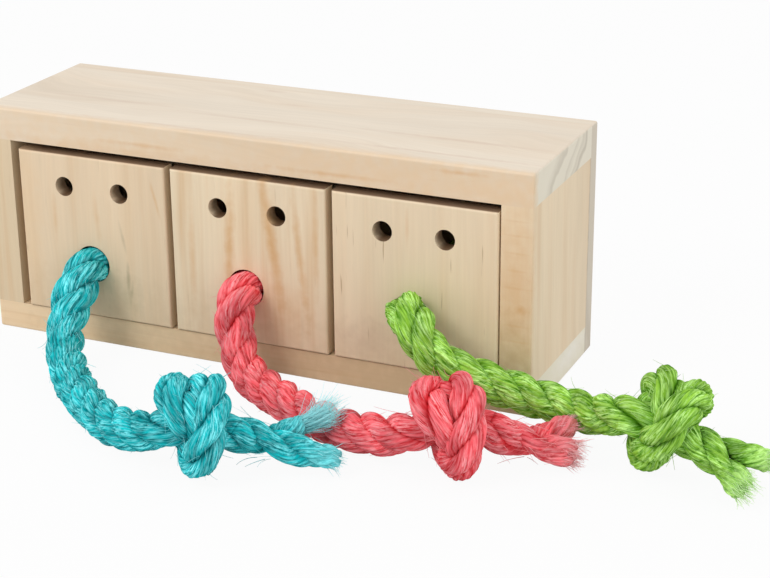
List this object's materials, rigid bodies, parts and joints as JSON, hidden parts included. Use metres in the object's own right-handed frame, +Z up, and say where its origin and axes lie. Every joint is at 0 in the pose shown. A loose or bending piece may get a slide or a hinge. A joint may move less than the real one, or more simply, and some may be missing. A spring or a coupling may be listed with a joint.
{
  "type": "treat drawer box",
  "caption": "Low pine box with a row of treat drawers; each front has scent holes and a knotted sisal rope that a small pet tugs to slide the drawer open.",
  "frame": {"origin": "on the surface the box stands on, under the middle of the case and drawer fronts", "axes": "+X along the length, to the right as seen from the drawer fronts; -Y out of the drawer fronts; +Z up"},
  "size_m": [0.2698, 0.1427, 0.077],
  "materials": {
    "pine_case": "sanded, unfinished pine",
    "pine_back": "sanded, unfinished pine",
    "pine_front": "sanded, unfinished pine, grain upright",
    "pine_tray": "sawn, unfinished pine",
    "dowel_wood": "plain dowel",
    "turquoise_sisal": "dyed three-strand laid sisal",
    "coral_sisal": "dyed three-strand laid sisal",
    "green_sisal": "dyed three-strand laid sisal"
  },
  "bodies": {
    "case": {"top_board": "pine_case", "bottom_board": "pine_case", "left_side_board": "pine_case", "right_side_board": "pine_case", "back_board": "pine_back", "top_dowels": "dowel_wood", "bottom_dowels": "dowel_wood"},
    "left_drawer": {"left_drawer_front": "pine_front", "left_drawer_left_side": "pine_tray", "left_drawer_right_side": "pine_tray", "left_drawer_back": "pine_tray", "left_drawer_bottom": "pine_tray", "left_drawer_dowels": "dowel_wood", "left_rope": "turquoise_sisal", "left_rope_stop_knot": "turquoise_sisal", "left_rope_knot": "turquoise_sisal", "left_rope_tail": "turquoise_sisal"},
    "middle_drawer": {"middle_drawer_front": "pine_front", "middle_drawer_left_side": "pine_tray", "middle_drawer_right_side": "pine_tray", "middle_drawer_back": "pine_tray", "middle_drawer_bottom": "pine_tray", "middle_drawer_dowels": "dowel_wood", "middle_rope": "coral_sisal", "middle_rope_stop_knot": "coral_sisal", "middle_rope_knot": "coral_sisal", "middle_rope_tail": "coral_sisal"},
    "right_drawer": {"right_drawer_front": "pine_front", "right_drawer_left_side": "pine_tray", "right_drawer_right_side": "pine_tray", "right_drawer_back": "pine_tray", "right_drawer_bottom": "pine_tray", "right_drawer_dowels": "dowel_wood", "right_rope": "green_sisal", "right_rope_stop_knot": "green_sisal", "right_rope_knot": "green_sisal", "right_rope_tail": "green_sisal"}
  },
  "joints": [
    {"name": "left_drawer_slide", "type": "slide", "parent": "case", "child": "left_drawer", "axis": [0, -1, 0], "range_m": [0, 0.04], "deforming": ["left_rope", "left_rope_knot", "left_rope_tail"]},
    {"name": "middle_drawer_slide", "type": "slide", "parent": "case", "child": "middle_drawer", "axis": [0, -1, 0], "range_m": [0, 0.04], "deforming": ["middle_rope", "middle_rope_knot", "middle_rope_tail"]},
    {"name": "right_drawer_slide", "type": "slide", "parent": "case", "child": "right_drawer", "axis": [0, -1, 0], "range_m": [0, 0.04], "deforming": ["right_rope", "right_rope_knot", "right_rope_tail"]}
  ]
}
